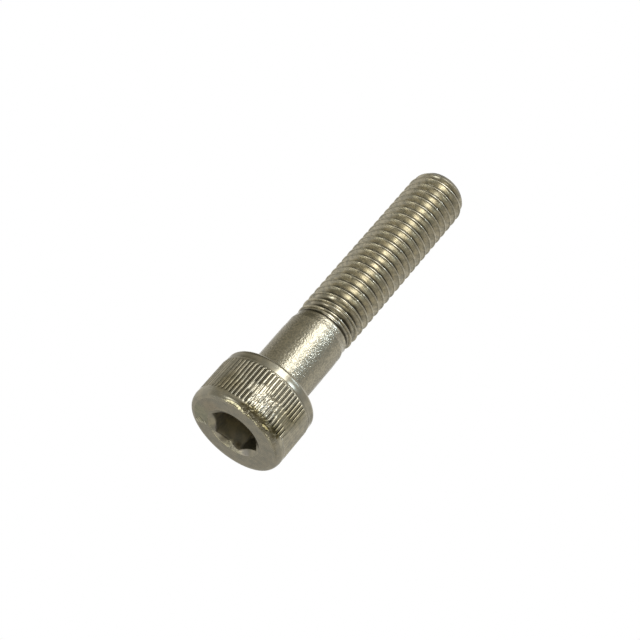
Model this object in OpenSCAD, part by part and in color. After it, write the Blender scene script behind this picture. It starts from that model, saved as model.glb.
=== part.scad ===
// Hex socket head cap screw, forged, knurled and thread-rolled from one bar.
// The origin is the centre of the head's end face, and +Z runs along the shank to the tip.
// Lengths are in millimetres.

/* [Shank] */
// Nominal diameter, which the plain shank has
shank_d = 8; // [7.95:0.05:9.5]
// Length under the head
shank_length = 40; // [34:1:80]
// Radius of the fillet under the head
head_fillet = 0.5; // [0.2:0.1:1]
// Length of the taper from the shank down to the neck
neck_taper = 1.5; // [0.5:0.1:3]
// Diameter of the neck, where the turns begin
neck_d = 7.52; // [7:0.02:7.8]

/* [Thread] */
// Distance between turns
thread_pitch = 1.25; // [0.8:0.05:1.5]
// Length of the full turns, from the tip
thread_length = 28; // [20:1:30]
// Length over which the turns rise out of the neck
thread_runout = 1.6; // [1:0.1:3]
// Diameter over the crests
thread_crest_d = 7.92; // [7.4:0.02:8]
// Depth of the turns, from crest to root
thread_depth = 0.73; // [0.4:0.01:0.8]
// Width of the flat on the crests
crest_width = 0.2; // [0.1:0.01:0.3]

/* [Tip] */
// Diameter of the flat at the tip
tip_flat_d = 4.2; // [3:0.1:5.5]
// Length over which the tip is rounded off
tip_length = 2.7; // [1:0.1:4]

/* [Head] */
// Diameter of the smooth band behind the knurl
head_d = 12.9; // [12.5:0.1:15]
// Height of the head
head_height = 8; // [7:0.1:10]
// Width of the rounded edge round the end face
end_edge_width = 0.42; // [0.3:0.02:0.6]
// Height from the end face to where that edge ends
end_edge_height = 0.85; // [0.6:0.05:1.5]
// Width of the gentle slope between the flat of the end face and that edge
end_slope_width = 0.23; // [0.1:0.01:0.4]
// Height to which that slope rises
end_slope_rise = 0.05; // [0.02:0.01:0.1]
// Radius of the rounded edge round the bearing face
back_edge_r = 0.65; // [0.3:0.05:1.2]

/* [Knurl] */
// Number of straight teeth
knurl_teeth = 72; // [40:1:90]
// How far the teeth stand out from the smooth bands
knurl_rise = 0.12; // [0.05:0.01:0.2]
// Depth of the grooves between the teeth, from their tops
knurl_depth = 0.15; // [0.1:0.01:0.3]
// Share of each tooth that is its flat top
knurl_land = 0.3; // [0.1:0.05:0.6]
// Width of the smooth band between the knurl and the bearing face
knurl_band = 1.6; // [1.2:0.1:2.5]

/* [Socket] */
// Size across the flats of the hexagon
key_size = 6; // [5:0.1:7]
// Depth of the flats
socket_depth = 4; // [3:0.1:5]
// Diameter of the countersunk mouth
mouth_d = 7.7; // [7.1:0.1:8.2]
// Full angle of the countersunk mouth
mouth_angle = 120; // [90:5:130]
// Full angle of the socket's pointed floor
floor_angle = 140; // [118:1:150]

/* [Hidden] */

$fn = 96;
arc_steps = 8;
turn_steps = 32;
overlap = 0.02;

shank_r = shank_d / 2;
neck_r = neck_d / 2;
head_r = head_d / 2;
bearing_z = head_height;
end_z = head_height + shank_length;

thread_r = thread_crest_d / 2;
root_r = thread_r - thread_depth;
full_turns_z = end_z - thread_length;
neck_z = full_turns_z - thread_runout;
flank_width = thread_depth * tan(30);
root_width = thread_pitch - crest_width - 2 * flank_width;
// The sweep starts some turns down, out of sight inside the shank, and ends beyond the tip
hidden_turns = 1.47;
sweep_z = neck_z - hidden_turns * thread_pitch;
sweep_rows = turn_steps * (1 + ceil((end_z - sweep_z) / thread_pitch));

knurl_r = head_r + knurl_rise;
groove_r = knurl_r - knurl_depth;
knurl_start = end_edge_height;
knurl_end = bearing_z - knurl_band;
tooth_angle = 360 / knurl_teeth;

key_corner_r = key_size / 2 / cos(30);
mouth_depth = mouth_d / 2 / tan(mouth_angle / 2);
floor_depth = key_corner_r / tan(floor_angle / 2);

// Points [r, z] along an arc round a centre, from one angle to another
function arc(centre, r, from, to) = [
    for (i = [0:arc_steps])
        let (a = from + (to - from) * i / arc_steps)
            [centre[0] + r * cos(a), centre[1] + r * sin(a)]
];

// The smooth head, turned down to the bottom of the grooves where the knurl is.
// The end face slopes gently up from its flat to the rounded edge, which is a quarter of an ellipse.
module head_blank() {
    edge_foot_r = head_r - end_edge_width;
    rotate_extrude()
        polygon(concat(
            [[0, 0], [edge_foot_r - end_slope_width, 0]],
            [for (i = [1:arc_steps])
                let (a = 90 * i / arc_steps)
                    [edge_foot_r + end_edge_width * sin(a),
                     end_edge_height - (end_edge_height - end_slope_rise) * cos(a)]],
            [[groove_r, knurl_start + knurl_depth], [groove_r, knurl_end - knurl_depth], [head_r, knurl_end]],
            arc([head_r - back_edge_r, bearing_z - back_edge_r], back_edge_r, 0, 90),
            [[0, bearing_z]]
        ));
}

// Outline of one tooth: its flat top, then the groove after it
function tooth_points(i) =
    let (land = tooth_angle * knurl_land / 2)
        [for (p = [[-land, knurl_r], [land, knurl_r], [tooth_angle / 2, groove_r - overlap]])
            let (a = i * tooth_angle + p[0]) [p[1] * cos(a), p[1] * sin(a)]];

// Straight teeth, bevelled at both ends
module knurl() {
    intersection() {
        translate([0, 0, knurl_start])
            linear_extrude(knurl_end - knurl_start)
                polygon([for (i = [0:knurl_teeth - 1]) each tooth_points(i)]);
        rotate_extrude()
            polygon([
                [0, knurl_start - overlap],
                [groove_r - overlap, knurl_start - overlap],
                [knurl_r + overlap, knurl_start + knurl_depth + overlap],
                [knurl_r + overlap, knurl_end - knurl_depth - overlap],
                [groove_r - overlap, knurl_end + overlap],
                [0, knurl_end + overlap]
            ]);
    }
}

// The hexagon's flats, which run into a pointed floor
module socket_hexagon() {
    intersection() {
        translate([0, 0, -overlap])
            cylinder(r = key_corner_r, h = socket_depth + floor_depth + overlap, $fn = 6);
        rotate_extrude()
            polygon([
                [0, -overlap],
                [key_corner_r + overlap, -overlap],
                [key_corner_r + overlap, socket_depth],
                [0, socket_depth + floor_depth]
            ]);
    }
}

module socket_mouth() {
    cylinder(r1 = mouth_d / 2, r2 = 0, h = mouth_depth);
}

module head() {
    color("silver")
        difference() {
            union() {
                head_blank();
                knurl();
            }
            socket_hexagon();
            socket_mouth();
        }
}

// The shank with its fillet under the head and its taper down to the neck
module shank() {
    color("silver")
        rotate_extrude()
            polygon(concat(
                [[0, bearing_z - back_edge_r], [shank_r + head_fillet, bearing_z - back_edge_r]],
                arc([shank_r + head_fillet, bearing_z + head_fillet], head_fillet, 270, 180),
                [[shank_r, neck_z - neck_taper], [neck_r, neck_z], [0, neck_z]]
            ));
}

// Corners of one turn's outline, as [height above the turn's foot, radius]: root, flank, crest
turn_outline = [
    [0, root_r],
    [root_width, root_r],
    [root_width + flank_width, thread_r],
    [root_width + flank_width + crest_width, thread_r]
];

// Radius of the sweep at a height: hidden in the shank at first, then rising out of the neck
function swept_r(full_r, z) =
    let (hidden_r = neck_r - overlap, share = min(1, max(0, (z - neck_z) / thread_runout)))
        hidden_r + (full_r - hidden_r) * share;

// Corner j of the turn's outline at step i of the helix
function swept_point(i, j) =
    let (a = 360 * i / turn_steps,
         z = sweep_z + thread_pitch * i / turn_steps + turn_outline[j][0],
         r = swept_r(turn_outline[j][1], z))
        [r * cos(a), r * sin(a), z];

// Number of that corner in the list of points. The corner after the last is the next turn's first.
corners = len(turn_outline);
function corner(i, j) = j < corners ? i * corners + j : corner(i + turn_steps, 0);

// Right-hand turns as one sweep, closed at both ends by fans from the axis
module turns() {
    last = sweep_rows + turn_steps;
    foot = (last + 1) * corners;
    peak = foot + 1;
    polyhedron(
        points = concat(
            [for (i = [0:last]) for (j = [0:corners - 1]) swept_point(i, j)],
            [[0, 0, sweep_z], [0, 0, sweep_z + thread_pitch * last / turn_steps]]
        ),
        faces = concat(
            [for (i = [0:sweep_rows - 1]) for (j = [0:corners - 1]) each [
                [corner(i, j), corner(i, j + 1), corner(i + 1, j + 1)],
                [corner(i, j), corner(i + 1, j + 1), corner(i + 1, j)]
            ]],
            [for (i = [0:turn_steps - 1]) [foot, corner(i, 0), corner(i + 1, 0)]],
            [for (j = [0:corners - 1]) [foot, corner(0, j + 1), corner(0, j)]],
            [for (i = [sweep_rows:last - 1]) [peak, corner(i + 1, 0), corner(i, 0)]],
            [for (j = [0:corners - 1]) [peak, corner(sweep_rows, j), corner(sweep_rows, j + 1)]]
        ),
        convexity = 10
    );
}

// What the rounded tip leaves of the turns: a quarter of an ellipse down to a flat end
module tip_envelope() {
    drop = thread_r + overlap - tip_flat_d / 2;
    rotate_extrude()
        polygon(concat(
            [[0, bearing_z], [thread_r + overlap, bearing_z]],
            [for (i = [0:arc_steps])
                [tip_flat_d / 2 + drop * cos(90 * i / arc_steps),
                 end_z - tip_length + tip_length * sin(90 * i / arc_steps)]],
            [[0, end_z]]
        ));
}

module thread() {
    color("silver")
        intersection() {
            turns();
            tip_envelope();
        }
}

module screw() {
    head();
    shank();
    thread();
}

screw();
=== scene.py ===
"""Hex socket head cap screw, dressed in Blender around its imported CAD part.

The screw stands on its head, with +Z along the shank. Its whole skin is one closed mesh, woven from rings
of points: out of the socket, over the end face and the knurl, along the shank, round the turns of the
thread and over the tip. Lengths are in millimetres until the mesh is made. Azimuths are in degrees, from
-Y, which is the front, toward +X.
"""

import math

import bpy
import numpy as np
from mathutils import Matrix, Vector, noise


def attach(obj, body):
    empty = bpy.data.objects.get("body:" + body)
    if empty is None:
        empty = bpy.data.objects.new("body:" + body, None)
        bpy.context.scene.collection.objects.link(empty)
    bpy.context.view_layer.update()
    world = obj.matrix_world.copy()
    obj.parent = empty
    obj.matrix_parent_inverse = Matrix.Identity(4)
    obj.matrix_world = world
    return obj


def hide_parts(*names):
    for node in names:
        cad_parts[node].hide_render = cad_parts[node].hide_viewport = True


MM = 0.001
NODE = "screw"

# Head
HEAD_R = 6.45
HEAD_HEIGHT = 8.0
# The edge round the end face: a gentle slope outward from the flat, then a quarter of an ellipse up the side
FACE_R = 5.8
END_SLOPE_RISE = 0.05
END_EDGE_WIDTH = 0.52
END_EDGE_HEIGHT = 1.0
EDGE_FOOT_R = 6.03
# The soft crease between the flat and the slope, as (radius, height): its start, its middle and its end
CREASE_START = (FACE_R - 0.06, 0)
CREASE_MIDDLE = (FACE_R + 0.01, 0.001)
CREASE_END = (FACE_R + 0.02, 0.004)
FACE_RINGS = 7
SLOPE_RINGS = 5
# How far round its ellipse the edge meets the slope, and how far it is followed, in degrees
EDGE_START = 11.25
EDGE_STOP = 75
EDGE_RINGS = 10
# How far below the knurl's mesh the edge's last ring lies, at least
EDGE_GAP = 0.02
# The edge round the bearing face, and the ring before it, which keeps the band's shading straight
BACK_EDGE_R = 0.65
BACK_EDGE_Z = HEAD_HEIGHT - BACK_EDGE_R
BACK_EDGE_RINGS = 7
BAND_STOP_Z = BACK_EDGE_Z - 0.2
BEARING_RINGS = 2

# Knurl
TEETH = 72
TOOTH_TOP_R = 6.562
GROOVE_R = 6.44
# Degrees from +X to the middle of the first tooth
FIRST_TOOTH = -0.8
# Where the knurl's mesh starts, how much higher its grooves start, and how much more away from the front
KNURL_START = 0.8
GROOVE_DELAY = 0.2
KNURL_RAGGED = 0.35
# How far from the front the grooves begin to start later, and from where they start latest, in degrees
RAGGED_FROM = 30
RAGGED_FULL = 50
KNURL_END = 6.42
# Length of the bevels at the knurl's ends, and how far beyond its last ring the second one would end
KNURL_BEVEL = 0.2
BEVEL_BEYOND = 0.02
# How far the knurl stands out from the curve of the edge below it
KNURL_STEP = 0.012
# Heights of the knurl's rings, which lie closest where it is crushed and at its ends
CRUSHED_TOP = 4.6
CRUSHED_RINGS = 33
KNURL_HEIGHTS = [*np.linspace(KNURL_START, CRUSHED_TOP, CRUSHED_RINGS), 5.2, 5.8, 6.15, 6.24, 6.33, KNURL_END]
# Points of one tooth, as shares of its width from the middle of its top, with their heights
TOOTH = [
    (-0.3, 0.5), (-0.22, 0.88), (-0.12, 0.99), (0, 1), (0.12, 0.99),
    (0.22, 0.88), (0.3, 0.5), (0.38, 0.12), (0.5, 0), (0.62, 0.12),
]
# Places where the teeth are rubbed down: (azimuth from, to, height from, to, share rubbed off)
RUBBED = [
    (-76, -56, 2.3, 4.2, 0.35),
    (-56, -38, 2.4, 4.3, 0.2),
    (-38, -30, 3.0, 4.0, 0.2),
    (-24, -12, 2.9, 3.9, 0.5),
    (-12, 0, 1.6, 4.2, 0.6),
    (0, 9, 1.4, 3.6, 0.65),
    (9, 26, 2.6, 3.7, 0.62),
    (26, 48, 2.6, 3.8, 0.52),
    (48, 76, 0.8, 6.4, 0.65),
    (-76, -62, 0.8, 6.4, 0.4),
]
# How a rubbed place fades: across its sides in degrees, and outside and inside its ends
RUBBED_SIDES = 2
RUBBED_OUTSIDE = 0.25
RUBBED_INSIDE = 0.15
# How unevenly neighbouring teeth start and stop, and are rubbed down
TOOTH_JITTER = 0.4
WEAR_JITTER = 0.16
# How dark the grooves are with dirt and painted shade, by azimuth
GROOVE_DARKENING = [
    (-75, 0.3), (-50, 0.8), (-35, 1), (-15, 1), (-5, 0.6), (8, 0.7), (18, 0.9), (40, 0.9), (50, 0.2),
]
# Up to what share of a tooth's height the dirt and painted shade are whole, and where they end
DARKENING_WHOLE = 0.2
DARKENING_GONE = 0.8
# Between these azimuths the painted shade climbs the teeth's flanks, over their highlights, by these shares
CLIMB_FROM = -56
CLIMB_TO = -14
CLIMB_FADE = 6
CLIMB_WHOLE = 0.45
CLIMB_GONE = 0.25
# The low ridge behind the knurl: (outward from the head's side, beyond the knurl's end)
BAND_RIDGE = [(-0.02, 0.05), (0.03, 0.12), (0.03, 0.18), (0, 0.28)]

# Socket
KEY_SIZE = 6.0
KEY_CORNER_R = KEY_SIZE / 2 / math.cos(math.radians(30))
# The higher, the sharper the hexagon's corners
KEY_SHARPNESS = 90
SOCKET_DEPTH = 4.0
FLOOR_HALF_ANGLE = 70
MOUTH_R = 3.85
MOUTH_HALF_ANGLE = 60
# Places of the socket's rings, as shares of the way along its floor, its walls and its mouth
FLOOR_SHARES = (0.12, 0.5, 0.9, 0.98)
WALL_SHARES = (0, 0.02, 0.15, 0.4, 0.65, 0.9, 0.985)
MOUTH_SHARES = (0.06, 0.2, 0.5, 0.8, 0.93)
# The soft lip between the mouth and the end face
MOUTH_LIP = [(MOUTH_R + 0.02, 0.004), (MOUTH_R + 0.06, 0.0)]

# Shank
SHANK_R = 4.0
HEAD_FILLET = 0.5
FILLET_RINGS = 5
NECK_R = 3.76
NECK_Z = 18.4
NECK_TAPER = 1.5
SHANK_RINGS = 14
# How far below the first turn's mesh the shank's last ring lies
SHANK_GAP = 0.15

# Thread, which climbs to the right
PITCH = 1.25
CREST_R = 3.96
ROOT_R = 3.23
RUNOUT = 1.6
# Points of one turn, as heights above the middle of its root, with their share of the thread's depth
TURN = [
    (0.0, 0.0), (0.11, 0.05), (0.16, 0.14), (0.418, 0.75), (0.435, 0.79), (0.452, 0.835), (0.469, 0.885),
    (0.495, 0.935), (0.525, 0.975), (0.56, 1.0), (0.64, 1.0), (0.67, 0.98), (0.695, 0.93), (0.72, 0.86),
    (1.01, 0.14), (1.06, 0.05),
]
# Height of the middle of a root at the back of the screw, where the turns' mesh starts
ROOT_PHASE = 0.718
# The seam that rolling leaves beside the crests: open where the turns begin, then painted shade in a line
SEAM_MIDDLE = 0.452
SEAM_WIDTH = 0.02
SEAM_SHADE = 0.95
OPEN_SEAM_SHARE = 0.6
SEAM_CLOSING = 3.0
# How far up the thread's depth the painted shade in the roots is whole, where it ends, and how much higher
# it ends on the first turns
ROOT_SHADE_FULL = 0.05
ROOT_SHADE_GONE = 0.17
FIRST_ROOTS_MORE = 0.07
# How dark the roots' painted shade is, beside the darkest: the first roots, and those near one azimuth
ROOT_SHADE = 0.78
FIRST_ROOTS_Z = NECK_Z + 2
LATER_ROOTS_Z = NECK_Z + 6
SHADE_AZIMUTH = -2
FULL_SHADE_WITHIN = 10
LESS_SHADE_BEYOND = 24

# Tip
END_Z = 48.0
TIP_LENGTH = 2.7
TIP_FLAT_R = 2.1
TIP_CLOSED_R = 0.6
# Where the turns' mesh leaves their outline and runs over the tip, and how far it then runs to the flat
LAST_ROOT_Z = END_Z - 0.38
TIP_CURVE = 1.3
# Where the materials of the thread and of the tip start
THREAD_ZONE_Z = NECK_Z - 0.1
TIP_ZONE_Z = END_Z - 1.1

# Points round each kind of ring
FINE = TEETH * len(TOOTH)
MEDIUM = FINE // 2
COARSE = MEDIUM // 4
# Number of the point of a coarse ring, counted from +X, where the turns' mesh starts: near the back
TURNS_START = COARSE // 4

# Material zones, in the order of the mesh's material slots
SOCKET, MOUTH, FACE, KNURL, BAND, SHANK, THREAD, TIP = range(8)


# ---------------------------------------------------------------- rings of points

points = []
dirt_and_shade = []
faces = []
zones = []


def add_point(x, y, z, darkening=0.0):
    """Adds a point, with how much dirt and painted shade lie there, and returns its number."""
    points.append((x, y, z))
    dirt_and_shade.append(darkening)
    return len(points) - 1


def ring(angles, radius, height, darkening=0.0):
    """Adds a closed ring of points and returns their numbers. All but the angles may be one value."""
    radius, height, darkening = [np.broadcast_to(value, len(angles)) for value in (radius, height, darkening)]
    places = zip(radius * np.cos(angles), radius * np.sin(angles), height, darkening)
    return [add_point(*place) for place in places]


def add_face(zone, *corners):
    faces.append(corners)
    zones.append(zone)


def weave(lower, upper, zone):
    """Joins two rings. The rings have as many points as each other, or one has twice as many."""
    few = min(len(lower), len(upper))
    for i in range(few):
        j = (i + 1) % few
        if len(lower) == len(upper):
            add_face(zone, lower[i], lower[j], upper[j], upper[i])
        elif len(lower) > few:
            a, b, c = lower[2 * i], lower[2 * i + 1], lower[2 * j]
            add_face(zone, a, b, upper[i])
            add_face(zone, b, upper[j], upper[i])
            add_face(zone, b, c, upper[j])
        else:
            a, b, c = upper[2 * i], upper[2 * i + 1], upper[2 * j]
            add_face(zone, lower[i], b, a)
            add_face(zone, lower[i], lower[j], b)
            add_face(zone, lower[j], c, b)


def weave_on(last, angles, outline, zone):
    """Goes on from a ring through the rings of an outline of (radius, height), and returns the last."""
    for radius, height in outline:
        new = ring(angles, radius, height)
        weave(last, new, zone)
        last = new
    return last


def arc(centre, radius, start, end, steps):
    """Points (radius, height) along an arc, in degrees, without the first."""
    turned = [math.radians(start + (end - start) * i / steps) for i in range(1, steps + 1)]
    return [(centre[0] + radius * math.cos(a), centre[1] + radius * math.sin(a)) for a in turned]


def spread(start, end, steps):
    """Points along a straight line, without the first."""
    return [tuple(np.add(start, np.subtract(end, start) * i / steps)) for i in range(1, steps + 1)]


def smooth(outer, inner, value):
    """0 at outer and 1 at inner, with a soft run between them."""
    share = np.clip((value - outer) / (inner - outer), 0, 1)
    return share * share * (3 - 2 * share)


def within(low, high, outside, inside, value):
    """1 between low and high and 0 beyond them. Both ends fade, from this far outside to this far inside."""
    return smooth(low - outside, low + inside, value) * smooth(high + outside, high - inside, value)


def even_angles(count):
    return np.arange(count) * 2 * math.pi / count


def azimuth_of(angle):
    """The azimuth of an angle from +X, in degrees."""
    return (angle + 270) % 360 - 180


def toward(azimuth, elevation):
    """The direction at an azimuth and an elevation."""
    a, e = math.radians(azimuth), math.radians(elevation)
    return Vector((math.sin(a) * math.cos(e), -math.cos(a) * math.cos(e), math.sin(e)))


# ---------------------------------------------------------------- the head

def hexagon_radius(angles):
    """Distance from the axis to the hexagon, whose corners are slightly rounded."""
    flats = np.radians(np.arange(30, 360, 60))
    reach = np.maximum(np.cos(angles[:, None] - flats[None, :]), 0)
    return KEY_SIZE / 2 / np.sum(reach ** KEY_SHARPNESS, axis=1) ** (1 / KEY_SHARPNESS)


def socket():
    """The socket's pointed floor, its walls and its countersunk mouth."""
    angles = even_angles(MEDIUM)
    wall_r = hexagon_radius(angles)
    rise = 1 / math.tan(math.radians(FLOOR_HALF_ANGLE))
    floor_z = SOCKET_DEPTH + (KEY_CORNER_R - wall_r) * rise
    peak_z = SOCKET_DEPTH + KEY_CORNER_R * rise
    edge_z = (MOUTH_R - wall_r) / math.tan(math.radians(MOUTH_HALF_ANGLE))

    rows = [(SOCKET, wall_r * share, peak_z - wall_r * share * rise) for share in FLOOR_SHARES]
    rows += [(SOCKET, wall_r, floor_z + (edge_z - floor_z) * share) for share in WALL_SHARES]
    rows += [(MOUTH, wall_r + (MOUTH_R - wall_r) * share, edge_z * (1 - share)) for share in MOUTH_SHARES]
    last = ring(angles, *rows[0][1:])
    peak = add_point(0, 0, peak_z)
    for i in range(MEDIUM):
        add_face(SOCKET, peak, last[(i + 1) % MEDIUM], last[i])
    for zone, radius, height in rows[1:]:
        last = weave_on(last, angles, [(radius, height)], zone)
    return last


def end_face(last):
    """The lip of the mouth and the flat, whose points turn gradually in line with the teeth."""
    angles = even_angles(MEDIUM)
    last = weave_on(last, angles, MOUTH_LIP, FACE)
    flat = spread(MOUTH_LIP[-1], CREASE_START, FACE_RINGS)
    for i, place in enumerate(flat):
        share = (i + 1) / len(flat)
        mixed = angles * (1 - share) + tooth_angles()[::2] * share
        last = weave_on(last, mixed, [place], FACE)
    return last


def edge_radius(height):
    """Radius of the rounded edge round the end face at a height, or at its top for heights beyond it."""
    sunk = min(1, (END_EDGE_HEIGHT - height) / (END_EDGE_HEIGHT - END_SLOPE_RISE))
    return EDGE_FOOT_R + END_EDGE_WIDTH * math.sqrt(1 - max(0, sunk) ** 2)


def end_edge():
    """Outline of the edge round the end face, up to where the knurl's mesh starts."""
    turned = np.radians(np.linspace(EDGE_START, EDGE_STOP, EDGE_RINGS))
    heights = [END_EDGE_HEIGHT - (END_EDGE_HEIGHT - END_SLOPE_RISE) * math.cos(turn) for turn in turned]
    rounded = [(edge_radius(height), height) for height in heights if height < KNURL_START - EDGE_GAP]
    return [CREASE_MIDDLE] + spread(CREASE_END, rounded[0], SLOPE_RINGS) + rounded[1:]


def tooth_angles():
    """The angles of all points round the knurl."""
    width = 360 / TEETH
    turned = [FIRST_TOOTH + (i + share) * width for i in range(TEETH) for share, _ in TOOTH]
    return np.radians(turned)


def tooth_azimuth(tooth):
    return azimuth_of(FIRST_TOOTH + tooth * 360 / TEETH)


def tooth_noise(tooth, seed, stride=0.83):
    """A random amount, from about -1 to 1, that goes with a tooth and a seed."""
    return noise.noise(Vector((tooth * stride, seed, 0.5)))


def tooth_kept(tooth, height):
    """How much of a tooth stands at a height. Each tooth is rubbed down a little differently."""
    azimuth = tooth_azimuth(tooth)
    low_shift = TOOTH_JITTER * tooth_noise(tooth, 1)
    high_shift = TOOTH_JITTER * tooth_noise(tooth, 5)
    more = WEAR_JITTER * tooth_noise(tooth, 9)
    rubbed = 0
    for start, stop, low, high, share in RUBBED:
        across = within(start, stop, RUBBED_SIDES, RUBBED_SIDES, azimuth)
        along = within(low + low_shift, high + high_shift, RUBBED_OUTSIDE, RUBBED_INSIDE, height)
        rubbed = max(rubbed, (share + more) * across * along)
    return 1 - rubbed


def tooth_start(tooth):
    """Height where the grooves beside a tooth start, which is later away from the front."""
    later = smooth(RAGGED_FROM, RAGGED_FULL, abs(tooth_azimuth(tooth)))
    later += TOOTH_JITTER * tooth_noise(tooth, 3, stride=0.7)
    return KNURL_START + GROOVE_DELAY + KNURL_RAGGED * max(0, later)


def per_point(value):
    """A value that each tooth has, repeated for the tooth's points."""
    return np.repeat([value(tooth) for tooth in range(TEETH)], len(TOOTH))


def groove_darkening(share):
    """How dark the knurl is with dirt and painted shade where it isn't worn, from each point's share of its
    tooth's height.
    """
    azimuths = per_point(tooth_azimuth)
    climb = within(CLIMB_FROM, CLIMB_TO, CLIMB_FADE, CLIMB_FADE, azimuths)
    darkest = np.interp(azimuths, *zip(*GROOVE_DARKENING))
    return smooth(DARKENING_GONE + CLIMB_GONE * climb, DARKENING_WHOLE + CLIMB_WHOLE * climb, share) * darkest


def knurl(last):
    """The straight teeth, between grooves that run out at both ends."""
    angles = tooth_angles()
    share = np.tile([height for _, height in TOOTH], TEETH)
    starts = per_point(tooth_start)
    darkest = groove_darkening(share)
    middle = (TOOTH_TOP_R + GROOVE_R) / 2
    for height in KNURL_HEIGHTS:
        kept = per_point(lambda tooth: tooth_kept(tooth, height))
        # What is rubbed off the tops fills the grooves
        toothed = middle + (GROOVE_R + (TOOTH_TOP_R - GROOVE_R) * share - middle) * kept
        begun = smooth(0, KNURL_BEVEL, height - starts)
        unended = smooth(-BEVEL_BEYOND, KNURL_BEVEL, KNURL_END - height)
        plain = HEAD_R + (edge_radius(height) + KNURL_STEP - HEAD_R) * unended
        radius = plain + (np.minimum(toothed, plain) - plain) * begun
        new = ring(angles, radius, height, darkest * kept ** 2 * begun * unended)
        weave(last, new, KNURL)
        last = new
    return last


def back_of_head(last):
    """The smooth band, its rounded edge, the bearing face and the fillet under the head."""
    angles = tooth_angles()[::2]
    band = [(HEAD_R + out, KNURL_END + beyond) for out, beyond in BAND_RIDGE]
    band += [(HEAD_R, BAND_STOP_Z), (HEAD_R, BACK_EDGE_Z)]
    edge = arc((HEAD_R - BACK_EDGE_R, BACK_EDGE_Z), BACK_EDGE_R, 0, 90, BACK_EDGE_RINGS)
    fillet_r = SHANK_R + HEAD_FILLET
    bearing = spread(edge[-1], (fillet_r, HEAD_HEIGHT), BEARING_RINGS)
    last = weave_on(last, angles, band + edge + bearing, BAND)
    fillet = arc((fillet_r, HEAD_HEIGHT + HEAD_FILLET), HEAD_FILLET, 270, 180, FILLET_RINGS)
    last = weave_on(last, even_angles(COARSE * 2), fillet[:1], BAND)
    return weave_on(last, even_angles(COARSE), fillet[1:], BAND)


# ---------------------------------------------------------------- the shank and the thread

def first_turn_z():
    """The last middle of a root, at the back, that still lies below the taper down to the neck."""
    turns = math.floor((NECK_Z - NECK_TAPER - ROOT_PHASE) / PITCH)
    return ROOT_PHASE + turns * PITCH


def shank(last):
    """The plain shank, to where the turns' mesh goes on from it."""
    start, end = (SHANK_R, HEAD_HEIGHT + HEAD_FILLET), (SHANK_R, first_turn_z() - SHANK_GAP)
    return weave_on(last, even_angles(COARSE), spread(start, end, SHANK_RINGS), SHANK)


def tip_envelope(z):
    """Radius of the rounded tip at a height, and of the cylinder over the crests below it."""
    drop = CREST_R - TIP_FLAT_R
    share = min(1, max(0, (z - (END_Z - TIP_LENGTH)) / TIP_LENGTH))
    return TIP_FLAT_R + drop * math.sqrt(1 - share * share)


def seamed(offset, share, z):
    """The share of the thread's depth at a point of a turn, with the seam sunk into its crest."""
    opened = smooth(NECK_Z + RUNOUT + SEAM_CLOSING, NECK_Z, z)
    return share - OPEN_SEAM_SHARE * opened * math.exp(-(((offset - SEAM_MIDDLE) / SEAM_WIDTH) ** 2))


def place_on_turn(z, offset, share):
    """Radius of a point of the turns, which rise out of the neck and end under the rounded tip."""
    base = SHANK_R + (NECK_R - SHANK_R) * smooth(NECK_Z - NECK_TAPER, NECK_Z, z)
    risen = min(1, max(0, (z - NECK_Z) / RUNOUT))
    full = ROOT_R + (CREST_R - ROOT_R) * seamed(offset, share, z)
    return min(base + (full - base) * risen, tip_envelope(z))


def place_on_tip(past):
    """Radius and height of a point of the tip, by how far past the last root it lies."""
    if past >= TIP_CURVE:
        return max(TIP_CLOSED_R, TIP_FLAT_R - (past - TIP_CURVE)), END_Z
    drop = CREST_R - TIP_FLAT_R
    angle = math.acos((tip_envelope(LAST_ROOT_Z) - TIP_FLAT_R) / drop)
    angle += (math.pi / 2 - angle) * past / TIP_CURVE
    return TIP_FLAT_R + drop * math.cos(angle), END_Z - TIP_LENGTH + TIP_LENGTH * math.sin(angle)


def shade_on_turn(offset, share, azimuth, z):
    """Painted shade in the seam and in the roots.

    The shade is darkest where the roots start and near one azimuth, where their upper side is left unshaded.
    """
    near = smooth(LESS_SHADE_BEYOND, FULL_SHADE_WITHIN, abs(azimuth - SHADE_AZIMUTH))
    left_lit = near if 0 < offset < PITCH / 2 else 0
    first = smooth(LATER_ROOTS_Z, FIRST_ROOTS_Z, z)
    in_root = smooth(ROOT_SHADE_GONE + FIRST_ROOTS_MORE * first, ROOT_SHADE_FULL, share) * (1 - left_lit)
    in_seam = smooth(SEAM_WIDTH, 0.5 * SEAM_WIDTH, abs(offset - SEAM_MIDDLE))
    return max(in_root, SEAM_SHADE * in_seam) * (ROOT_SHADE + (1 - ROOT_SHADE) * max(first, near))


class Turns:
    """The strip that climbs round the screw from its back.

    Corner (i, j) is point j of a turn's outline at step i.
    """

    def __init__(self):
        self.start_z = first_turn_z()
        self.angles = np.roll(even_angles(COARSE), -TURNS_START)
        self.numbers = {}

    def travel(self, i, j):
        """Height of a corner, which past the last root is its way over the tip."""
        return self.start_z + PITCH * i / COARSE + TURN[j][0]

    def add_corner(self, i, j):
        angle, travel = self.angles[i % COARSE], self.travel(i, j)
        if travel <= LAST_ROOT_Z:
            radius, z = place_on_turn(travel, *TURN[j]), travel
        else:
            radius, z = place_on_tip(travel - LAST_ROOT_Z)
        darkening = shade_on_turn(*TURN[j], azimuth_of(math.degrees(angle)), z)
        return add_point(radius * math.cos(angle), radius * math.sin(angle), z, darkening)

    def corner(self, i, j):
        """Number of a corner. The corner after a turn's last is the next turn's first."""
        if j == len(TURN):
            i, j = i + COARSE, 0
        if (i, j) not in self.numbers:
            self.numbers[i, j] = self.add_corner(i, j)
        return self.numbers[i, j]


def join_shank(last, turns):
    """From the shank's ring to the first turn, which starts with a step up its own outline."""
    for i in range(COARSE - 1):
        add_face(SHANK, last[i], last[i + 1], turns.corner(i + 1, 0), turns.corner(i, 0))
    fan = [last[0]] + [turns.corner(0, j) for j in range(len(TURN) + 1)] + [turns.corner(COARSE - 1, 0)]
    for a, b in zip(fan, fan[1:]):
        add_face(SHANK, last[-1], a, b)


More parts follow.
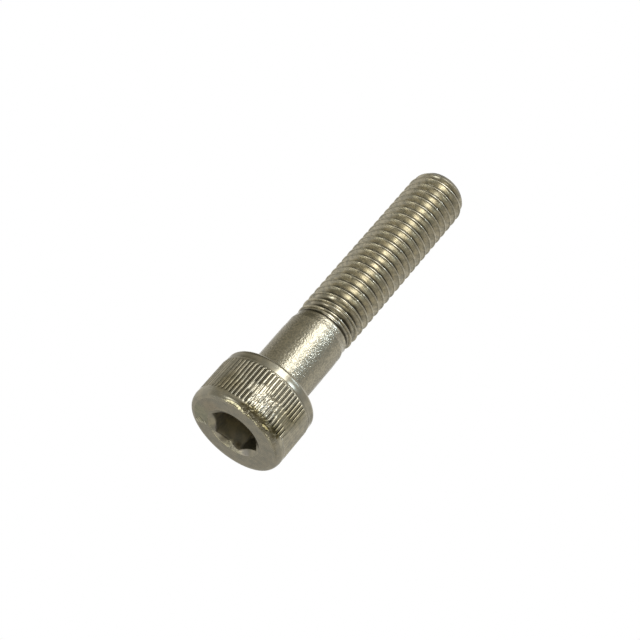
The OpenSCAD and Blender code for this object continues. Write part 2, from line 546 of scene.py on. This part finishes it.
def turn_zone(travel):
    if travel < THREAD_ZONE_Z:
        return SHANK
    return THREAD if travel < TIP_ZONE_Z else TIP


def close_tip(turns, steps):
    """Fans from the middle of the tip's flat to the end of the strip."""
    middle = add_point(0, 0, END_Z)
    for i in range(steps, steps + COARSE):
        add_face(TIP, turns.corner(i, 0), turns.corner(i + 1, 0), middle)
    for j in range(len(TURN)):
        add_face(TIP, turns.corner(steps, j + 1), turns.corner(steps, j), middle)


def thread(last):
    """The turns, as one strip that climbs from the shank to the tip, and the closing of the tip."""
    turns = Turns()
    join_shank(last[TURNS_START:] + last[:TURNS_START], turns)
    travel_end = LAST_ROOT_Z + TIP_CURVE + TIP_FLAT_R - TIP_CLOSED_R
    steps = math.ceil((travel_end - turns.start_z) / PITCH) * COARSE
    for i in range(steps):
        for j in range(len(TURN)):
            corners = [turns.corner(*place) for place in ((i, j), (i + 1, j), (i + 1, j + 1), (i, j + 1))]
            add_face(turn_zone(turns.travel(i, j)), *corners)
    close_tip(turns, steps)


# ---------------------------------------------------------------- dents

# Bites out of the edge and crushed places: (azimuth, radius, height, reach, depth, size of their lumps)
DENTS = [
    (-5.5, 6.02, 0.05, 0.17, 0.08, 0.12),
    (163, 3.42, 0.24, 0.2, 0.06, 0.1),
    (-8, 6.35, 0.4, 0.6, 0.09, 0.17),
    (0, 6.35, 0.5, 0.7, 0.09, 0.17),
    (7, 6.35, 0.6, 0.7, 0.09, 0.17),
    (14, 6.35, 0.6, 0.7, 0.1, 0.17),
    (22, 6.45, 1.1, 0.5, 0.08, 0.17),
    (30, 6.4, 0.8, 0.5, 0.09, 0.17),
    (35, 6.4, 0.7, 0.7, 0.08, 0.17),
    (42, 6.4, 0.7, 0.6, 0.06, 0.17),
    (-7, 6.5, 1.7, 0.8, 0.065, 0.13),
    (-2, 6.5, 2.3, 0.9, 0.07, 0.13),
    (4, 6.5, 1.9, 0.8, 0.065, 0.13),
    (4, 6.5, 3.0, 0.9, 0.07, 0.13),
    (11, 6.5, 3.1, 0.8, 0.07, 0.13),
    (14, 6.5, 2.2, 0.9, 0.065, 0.13),
    (21, 6.5, 3.0, 0.8, 0.05, 0.13),
    (-8, 6.5, 3.6, 1.0, 0.04, 0.13),
    (-20, 6.5, 3.3, 0.7, 0.04, 0.13),
    (-31, 6.5, 3.4, 0.7, 0.04, 0.13),
]
# As shares of a dent's reach: how uneven its outline is, where its rim starts, and what it never reaches
DENT_RAGGED = 0.35
DENT_RIM = 0.7
DENT_BEYOND = 1.3
# The mean share of its depth that a dent has, and how much more or less it has in places. Those places are
# smaller than the outline's lumps, by this factor.
DENT_MEAN = 0.6
DENT_UNEVEN = 0.8
DENT_FINER = 1.3

# Flats knocked into the edges: (azimuth, radius, height, reach, azimuth and elevation that it faces)
FLATS = [
    (-29.5, 6.24, 0.18, 0.22, -21, -61),
    (-26.3, 6.26, 0.23, 0.28, -19, -60),
    (-23.2, 6.27, 0.27, 0.31, -20, -61),
    (-20.0, 6.26, 0.26, 0.28, -19, -59),
    (-16.8, 6.21, 0.22, 0.27, -17, -62),
    (-13.6, 6.16, 0.17, 0.26, -19, -60),
    (-10.8, 6.14, 0.11, 0.2, -18, -61),
    (17.0, 6.26, 0.4, 0.28, 25, -64),
    (21.0, 6.27, 0.5, 0.46, 24, -63),
    (25.0, 6.27, 0.5, 0.42, 25, -65),
    (172.0, 3.22, 0.44, 0.28, -19, -60),
]


def dent(places, normals, azimuth, radius, height, reach, depth, lump):
    """Pushes points in, along their normals, inside a ragged outline and by ragged amounts."""
    centre = toward(azimuth, 0) * radius + Vector((0, 0, height))
    away = np.linalg.norm(places - np.array(centre), axis=1) / reach
    for i in np.nonzero(away < DENT_BEYOND)[0]:
        place = Vector(places[i]) / lump + Vector((azimuth, 0, 0))
        inside = smooth(1, DENT_RIM, away[i] + DENT_RAGGED * noise.noise(place))
        # The shift gives noise of its own to the depth
        deep = DENT_MEAN + DENT_UNEVEN * noise.noise(place * DENT_FINER + Vector((0, 5, 0)))
        places[i] -= normals[i] * depth * inside * min(1, max(0, deep))


def flatten(places, azimuth, radius, height, reach, facing_azimuth, facing_elevation):
    """Cuts points back to a plane through a place."""
    centre = np.array(toward(azimuth, 0) * radius + Vector((0, 0, height)))
    facing = np.array(toward(facing_azimuth, facing_elevation))
    proud = (places - centre) @ facing
    cut = (proud > 0) & (np.linalg.norm(places - centre, axis=1) < reach)
    places[cut] -= proud[cut, None] * facing


def weather(mesh):
    """Dents the mesh, in millimetres."""
    places = np.empty(len(mesh.vertices) * 3, dtype=np.float32)
    normals = np.empty_like(places)
    mesh.vertices.foreach_get("co", places)
    mesh.vertices.foreach_get("normal", normals)
    places, normals = places.reshape(-1, 3) / MM, normals.reshape(-1, 3)
    for mark in DENTS:
        dent(places, normals, *mark)
    for mark in FLATS:
        flatten(places, *mark)
    mesh.vertices.foreach_set("co", (places * MM).ravel())
    mesh.update()


def make_screw():
    last = end_face(socket())
    last = weave_on(last, tooth_angles(), end_edge(), BAND)
    last = back_of_head(knurl(last))
    thread(shank(last))
    mesh = bpy.data.meshes.new("hex_socket_screw")
    mesh.from_pydata([tuple(np.multiply(point, MM)) for point in points], [], faces)
    mesh.polygons.foreach_set("material_index", zones)
    mesh.polygons.foreach_set("use_smooth", [True] * len(faces))
    mesh.attributes.new("dirt_and_shade", "FLOAT", "POINT").data.foreach_set("value", dirt_and_shade)
    mesh.validate()
    mesh.update()
    weather(mesh)
    screw = bpy.data.objects.new("hex_socket_screw", mesh)
    bpy.context.collection.objects.link(screw)
    return screw


# ---------------------------------------------------------------- materials

STEEL = (0.55, 0.53, 0.45)
WARM_STEEL = (0.57, 0.53, 0.43)
# Tint of full darkening, which paints shade and dirt, beside its darkness: warm
DARKENING_TINT = (1, 0.97, 0.87)
# Levels of the noise between which the steel goes from dark to light, and from smooth to rough
MOTTLE_LEVELS = (0.35, 0.65)
ROUGH_LEVELS = (0.3, 0.7)
# Size of the rough places, beside that of the mottling
ROUGH_SIZE = 0.7

# Tinted spots, each round a point: (x, y, z, full within, gone beyond, tint)
# Painted shade and light on the socket's walls: darker walls, darkest on the +X side, and a pale bluish
# painted reflection at the back
SOCKET_SHADE_AND_LIGHT = [
    (2.6, -0.6, 2.0, 0.9, 2.2, (0.45, 0.47, 0.45)),
    (2.6, 1.5, 1.2, 1.4, 2.0, (0.3, 0.3, 0.27)),
    (1.3, 3.0, 0.8, 0.2, 0.8, (0.5, 0.47, 0.4)),
    (-2.6, -1.2, 1.5, 0.8, 2.4, (0.72, 0.66, 0.6)),
    (1.2, 2.6, 1.8, 0.5, 1.8, (1.15, 1.2, 1.35)),
]
# Painted shade and reflections on the mouth: a dark reflection at its front right, darker and bluer at the
# back and left, and a light reflection at the back right
MOUTH_SHADE_AND_LIGHT = [
    (2.6, -2.4, 0.2, 0.9, 1.8, (0.22, 0.2, 0.14)),
    (-3.4, -0.3, 0.2, 0.8, 1.9, (0.84, 0.84, 0.84)),
    (1.2, 3.4, 0.2, 0.5, 1.3, (0.5, 0.51, 0.6)),
    (-1.4, 3.2, 0.2, 1.1, 2.2, (0.55, 0.55, 0.64)),
    (-0.5, 3.1, 0.42, 0.4, 1.0, (0.7, 0.67, 0.6)),
    (2.5, 2.4, 0.2, 0.5, 1.3, (1.2, 1.2, 1.35)),
]
FACE_STAINS = [
    (-4.6, 1.5, 0, 0.8, 3.0, (0.93, 0.97, 0.88)),
    (-4.0, -1.5, 0, 0.5, 2.5, (0.98, 0.93, 0.88)),
]
# How ragged a spot's outline is, and the size of its lumps
SPOT_RAGGED = 0.4
# A darker olive tint, for the bruised edge and the foot of the knurl
OLIVE_TINT = (0.42, 0.39, 0.27)

# Scratches on the end face, from (x, y) to (x, y)
SCRATCHES = [
    ((-4.35, 2.6), (-3.7, 2.85)),
    ((-4.4, 2.95), (-3.85, 3.1)),
    ((-4.6, 3.3), (-4.2, 3.45)),
    ((-3.5, 2.4), (-3.3, 2.75)),
]
SCRATCH_WIDTH = 0.2
# Each scratch is painted as a shadow beside a highlight: (shift along Y, tint)
SCRATCH_SIDES = [(-0.1, (0.4, 0.38, 0.3)), (0.1, (2.3, 2.35, 2.4))]


class Tree:
    """A short way to write the nodes of a material or of the world."""

    def __init__(self, owner):
        owner.use_nodes = True
        self.nodes = owner.node_tree.nodes
        self.links = owner.node_tree.links

    def add(self, kind, values=(), **settings):
        """Adds a node, with its settings, and its inputs by number: a value, or another node's output."""
        node = self.nodes.new("ShaderNode" + kind)
        for key, value in settings.items():
            setattr(node, key, value)
        for key, value in dict(values).items():
            self.feed(node.inputs[key], value)
        return node

    def feed(self, inlet, value):
        if isinstance(value, bpy.types.NodeSocket):
            self.links.new(value, inlet)
        else:
            inlet.default_value = value

    def math(self, operation, a, b=0.0, **settings):
        return self.add("Math", {0: a, 1: b}, operation=operation, **settings).outputs[0]

    def vector(self, operation, a, b):
        """Vector maths: the outputs are a vector and a number."""
        return self.add("VectorMath", {0: a, 1: b}, operation=operation).outputs

    def ramp(self, value, start, end, low=0.0, high=1.0):
        """low at start and high at end, with a soft run between them."""
        values = {0: value, 1: start, 2: end, 3: low, 4: high}
        return self.add("MapRange", values, interpolation_type="SMOOTHSTEP").outputs[0]

    def mix(self, share, a, b, **settings):
        return self.add("Mix", {0: share, 6: a, 7: b}, data_type="RGBA", **settings).outputs[2]

    def tinted(self, colour, share, tint):
        """The colour, multiplied by a tint where share is 1."""
        return self.mix(1.0, colour, self.mix(share, (1, 1, 1, 1), (*tint, 1)), blend_type="MULTIPLY")

    def noise(self, place, size, detail=2.0, roughness=0.5):
        """Noise with lumps of about this many millimetres."""
        values = {"Vector": place, "Scale": 0.5 / (size * MM), "Detail": detail, "Roughness": roughness}
        return self.add("TexNoise", values).outputs[0]


def scaled(colour, share):
    return (*[c * share for c in colour], 1)


def mottled(tree, place, shade, mottle, depth):
    """Steel of this shade, lighter and darker by depth, in blotches of a size."""
    light, dark = scaled(WARM_STEEL, shade * (1 + depth)), scaled(STEEL, shade * (1 - depth))
    blotches = tree.noise(place, mottle, detail=4.0, roughness=0.6)
    return tree.mix(tree.ramp(blotches, *MOTTLE_LEVELS), dark, light)


def darkened(tree, colour, place, what, lightest, darkest, share):
    """The colour darkened, down to this share, by the mesh's painted shade and dirt, or along an axis."""
    if what == "dirt_and_shade":
        darkening = tree.ramp(tree.add("Attribute", attribute_name="dirt_and_shade").outputs["Fac"], lightest, darkest)
    else:
        where = tree.add("SeparateXYZ", {0: place}).outputs["XYZ".index(what)]
        darkening = tree.ramp(where, lightest * MM, darkest * MM)
    return tree.tinted(colour, darkening, [share * part for part in DARKENING_TINT])


def spotted(tree, colour, place, x, y, z, full, gone, tint):
    """The colour, tinted round a point, inside a ragged outline."""
    away = tree.vector("DISTANCE", place, (x * MM, y * MM, z * MM))[1]
    ragged = tree.math("MULTIPLY", tree.noise(place, SPOT_RAGGED), SPOT_RAGGED * MM)
    return tree.tinted(colour, tree.ramp(tree.math("ADD", away, ragged), gone * MM, full * MM), tint)


def scratch_light_and_shade(tree, colour, place):
    """The colour with scratches, each painted as a highlight beside a shadow."""
    for start, end in SCRATCHES:
        start, end = Vector((*start, 0)) * MM, Vector((*end, 0)) * MM
        for shift, tint in SCRATCH_SIDES:
            gone = tree.vector("SUBTRACT", place, start + Vector((0, shift * MM, 0)))[0]
            along = tree.vector("DOT_PRODUCT", gone, end - start)[1]
            share = tree.math("MULTIPLY", along, 1 / (end - start).length_squared, use_clamp=True)
            nearest = tree.add("VectorMath", {0: end - start, 3: share}, operation="SCALE").outputs[0]
            away = tree.vector("DISTANCE", gone, nearest)[1]
            colour = tree.tinted(colour, tree.ramp(away, SCRATCH_WIDTH * MM, 0), tint)
    return colour


def steel(name, shade, rough, grain_height, grain=0.3, stretch=1, mottle=0.5, mottle_depth=0.15,
          darkening_mask=None, spots=(), painted_scratches=False):
    """One zone's steel, whose roughness varies between two values.

    Its grain is bump and its mottling is colour, with lumps of these sizes in millimetres. The grain's lumps
    are stretch times as long round the screw as they are along it.
    """
    material = bpy.data.materials.new(name)
    tree = Tree(material)
    shader = tree.nodes["Principled BSDF"].inputs
    place = tree.add("TexCoord").outputs["Object"]
    colour = mottled(tree, place, shade, mottle, mottle_depth)
    if darkening_mask:
        colour = darkened(tree, colour, place, *darkening_mask)
    for spot in spots:
        colour = spotted(tree, colour, place, *spot)
    if painted_scratches:
        colour = scratch_light_and_shade(tree, colour, place)
    tree.feed(shader["Base Color"], colour)
    tree.feed(shader["Metallic"], 1)
    patches = tree.noise(place, mottle * ROUGH_SIZE, detail=3.0)
    tree.feed(shader["Roughness"], tree.ramp(patches, *ROUGH_LEVELS, *rough))
    squeezed = tree.vector("MULTIPLY", place, (1 / stretch, 1 / stretch, 1))[0]
    lumps = tree.noise(squeezed, grain, detail=3.0, roughness=0.55)
    bump = tree.add("Bump", {"Height": lumps, "Strength": 1.0, "Distance": grain_height * MM})
    tree.feed(shader["Normal"], bump.outputs[0])
    return material


def spots_round(radius, height, full, gone, tint, azimuths):
    """Tinted spots in a row round the axis."""
    return [(*toward(azimuth, 0).xy * radius, height, full, gone, tint) for azimuth in azimuths]


def edge_spots():
    """A darker olive tint where the end face meets its bruised edge, and on that edge."""
    foot = spots_round(6.02, 0.03, 0.1, 0.4, (0.4, 0.37, 0.27), range(-2, 34, 2))
    return foot + spots_round(6.4, 0.75, 0.3, 0.8, OLIVE_TINT, range(-12, 42, 6))


def knurl_spots():
    """A darker olive tint at the foot of the knurl, above the bruised edge, and painted shade over the
    highlights at its sides.
    """
    spots = spots_round(6.5, 1.0, 0.25, 0.85, OLIVE_TINT, range(-9, 42, 6))
    for azimuth, height in ((-42, 2.6), (34, 3.0), (40, 4.8)):
        spots += spots_round(6.5, height, 1.0, 2.4, (0.74, 0.72, 0.64), [azimuth])
    return spots + spots_round(6.5, 1.3, 0.4, 1.0, (0.5, 0.48, 0.38), (30, 38))


def steels():
    """The materials, in the order of the zones."""
    # The shades paint light and shade: the thread's steel is made lighter, and that of the socket, its mouth,
    # the end face and the tip darker
    return [
        # The socket grows darker toward its floor
        steel("steel_socket", 0.88, (0.4, 0.55), 0.01, darkening_mask=("Z", 0.2, 3.5, 0.8), spots=SOCKET_SHADE_AND_LIGHT),
        steel("steel_mouth", 0.85, (0.3, 0.4), 0.01, spots=MOUTH_SHADE_AND_LIGHT),
        steel("steel_face", 0.78, (0.2, 0.3), 0.008, mottle_depth=0.09, spots=FACE_STAINS, painted_scratches=True),
        # The knurl's darkening is dirt and painted shade in its grooves, and over the highlights of some
        # flanks
        steel("steel_knurl", 1.03, (0.13, 0.21), 0.018, grain=0.15, darkening_mask=("dirt_and_shade", 0, 1, 0.17),
              spots=knurl_spots()),
        steel("steel_band", 0.9, (0.18, 0.28), 0.012, mottle=0.6, mottle_depth=0.1, spots=edge_spots()),
        steel("steel_shank", 0.96, (0.08, 0.14), 0.06, grain=0.12, mottle=0.13, mottle_depth=0.16),
        # The thread's darkening is painted shade in its roots and seam
        steel("steel_thread", 1.24, (0.18, 0.28), 0.06, grain=0.16, stretch=25, mottle=0.3, mottle_depth=0.17,
              darkening_mask=("dirt_and_shade", 0, 1, 0.12)),
        steel("steel_tip", 0.6, (0.45, 0.55), 0.01),
    ]


# ---------------------------------------------------------------- studio

# The camera looks up at the end face, and is rolled so that the screw leans across the picture
CAMERA_PLACE = Vector((0, -171.25, -82.66))
CAMERA_AIM = Vector((-1.04, 0, 19.87))
CAMERA_ROLL = 40.9
LENS = 89.38

# What the metal mirrors of the room, each patch over those before it:
# (azimuth, elevation, full within, gone beyond, colour). The first leaves white only behind the screw.
ROOM = [
    (0, -26, 156, 172, (0.43, 0.415, 0.375)),
    (-28, 0, 62, 98, (0.285, 0.27, 0.22)),
    (-80, 30, 6, 24, (0.31, 0.29, 0.23)),
    (-128, 0, 14, 36, (0.53, 0.51, 0.46)),
    (62, 22, 14, 36, (0.35, 0.34, 0.31)),
    (42, 26, 8, 20, (0.34, 0.36, 0.345)),
    (97, 28, 8, 22, (0.54, 0.525, 0.47)),
    (30, -38, 32, 64, (0.25, 0.23, 0.175)),
    (110, -62, 26, 44, (0.33, 0.31, 0.26)),
    (18, -58, 14, 32, (0.12, 0.105, 0.065)),
    (-108, 58, 17, 34, (0.13, 0.12, 0.085)),
    (-2, 36, 18, 44, (0.62, 0.6, 0.52)),
    (-122, -73, 6, 14, (2.4, 2.35, 1.75)),
    (138, -66, 5, 13, (2.2, 2.15, 1.6)),
]
BACKGROUND = (1, 1, 1, 1)
# What lights rough surfaces, such as the floor
DIFFUSE_LEVEL = (0.8, 0.8, 0.8, 1)

LAMP_AIM = Vector((0, 0, 20))
LAMP_DISTANCE = 400

FLOOR_Z = -0.02
FLOOR_R = 900
FLOOR_SIDES = 96
FLOOR_COLOUR = (0.86, 0.86, 0.85, 1)


def make_camera():
    data = bpy.data.cameras.new("camera")
    data.lens = LENS
    camera = bpy.data.objects.new("camera", data)
    aim = (CAMERA_AIM - CAMERA_PLACE).to_track_quat("-Z", "Y").to_matrix().to_4x4()
    roll = Matrix.Rotation(math.radians(CAMERA_ROLL), 4, "Z")
    camera.matrix_world = Matrix.Translation(CAMERA_PLACE * MM) @ aim @ roll
    bpy.context.collection.objects.link(camera)
    bpy.context.scene.camera = camera


def make_world():
    """A white background, to the camera and through glass. Metal mirrors the room over it."""
    world = bpy.data.worlds.new("world")
    tree = Tree(world)
    path = tree.add("LightPath").outputs
    seen = tree.math("ADD", path["Is Camera Ray"], path["Is Glossy Ray"])
    seen = tree.math("MINIMUM", tree.math("ADD", seen, path["Is Transmission Ray"]), 1)
    colour = tree.mix(seen, DIFFUSE_LEVEL, BACKGROUND)
    place = tree.add("TexCoord").outputs["Generated"]
    for azimuth, elevation, full, gone, patch in ROOM:
        facing = tree.vector("DOT_PRODUCT", place, toward(azimuth, elevation))[1]
        share = tree.ramp(facing, math.cos(math.radians(gone)), math.cos(math.radians(full)))
        share = tree.math("MULTIPLY", share, path["Is Glossy Ray"])
        colour = tree.mix(share, colour, (*patch, 1))
    tree.feed(tree.nodes["Background"].inputs["Color"], colour)
    bpy.context.scene.world = world


def softbox(name, azimuth, elevation, width, height, strength, colour=(1, 1, 1)):
    """A rectangular lamp that faces the middle of the screw. Its strength is the brightness of its face."""
    data = bpy.data.lights.new(name, "AREA")
    data.shape = "RECTANGLE"
    data.size = width * MM
    data.size_y = height * MM
    data.energy = strength * math.pi * data.size * data.size_y
    data.color = colour
    lamp = bpy.data.objects.new(name, data)
    lamp.location = (LAMP_AIM + toward(azimuth, elevation) * LAMP_DISTANCE) * MM
    lamp.rotation_mode = "QUATERNION"
    lamp.rotation_quaternion = toward(azimuth, elevation).to_track_quat("Z", "Y")
    bpy.context.collection.objects.link(lamp)


def make_lamps():
    """A long lamp above the front, a low one at the left, two bluish ones at the right, a weak one behind."""
    softbox("key", -5, 34, 143, 300, 2.5, (1, 0.995, 0.96))
    softbox("low", -52, -25, 110, 150, 2.2, (1, 0.99, 0.9))
    softbox("blue", 31, 42, 110, 100, 1.4, (0.5, 0.74, 1))
    softbox("spark", 30, 43, 26, 26, 24, (0.85, 0.92, 1))
    softbox("top", 160, 62, 500, 400, 0.3)


def make_paper():
    """Pale paper, which is clear from below."""
    material = bpy.data.materials.new("paper")
    tree = Tree(material)
    shader = tree.nodes["Principled BSDF"]
    tree.feed(shader.inputs["Base Color"], FLOOR_COLOUR)
    tree.feed(shader.inputs["Roughness"], 0.9)
    tree.feed(shader.inputs["Specular IOR Level"], 0)
    below = tree.add("NewGeometry").outputs["Backfacing"]
    clear = tree.add("BsdfTransparent").outputs[0]
    shown = tree.add("MixShader", {0: below, 1: shader.outputs[0], 2: clear})
    tree.feed(tree.nodes["Material Output"].inputs["Surface"], shown.outputs[0])
    return material


def make_floor():
    """A pale floor that only the camera sees, lit and shadowed by the lamps and the screw."""
    mesh = bpy.data.meshes.new("floor")
    around = even_angles(FLOOR_SIDES)
    corners = [(math.cos(a) * FLOOR_R * MM, math.sin(a) * FLOOR_R * MM, FLOOR_Z * MM) for a in around]
    mesh.from_pydata(corners, [], [tuple(range(FLOOR_SIDES))])
    mesh.materials.append(make_paper())
    floor = bpy.data.objects.new("floor", mesh)
    bpy.context.collection.objects.link(floor)
    floor.visible_diffuse = False
    floor.visible_glossy = False
    floor.visible_transmission = False
    floor.visible_shadow = False


# ---------------------------------------------------------------- the scene

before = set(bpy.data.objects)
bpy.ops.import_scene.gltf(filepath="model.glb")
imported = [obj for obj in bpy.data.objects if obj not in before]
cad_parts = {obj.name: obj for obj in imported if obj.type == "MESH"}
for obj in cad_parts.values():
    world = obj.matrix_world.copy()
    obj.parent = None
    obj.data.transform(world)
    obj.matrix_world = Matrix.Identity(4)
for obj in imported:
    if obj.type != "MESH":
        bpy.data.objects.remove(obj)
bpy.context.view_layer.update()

screw = make_screw()
for material in steels():
    screw.data.materials.append(material)
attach(screw, "root")
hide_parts(NODE)

make_camera()
make_world()
make_lamps()
make_floor()
bpy.context.scene.view_settings.view_transform = "Standard"
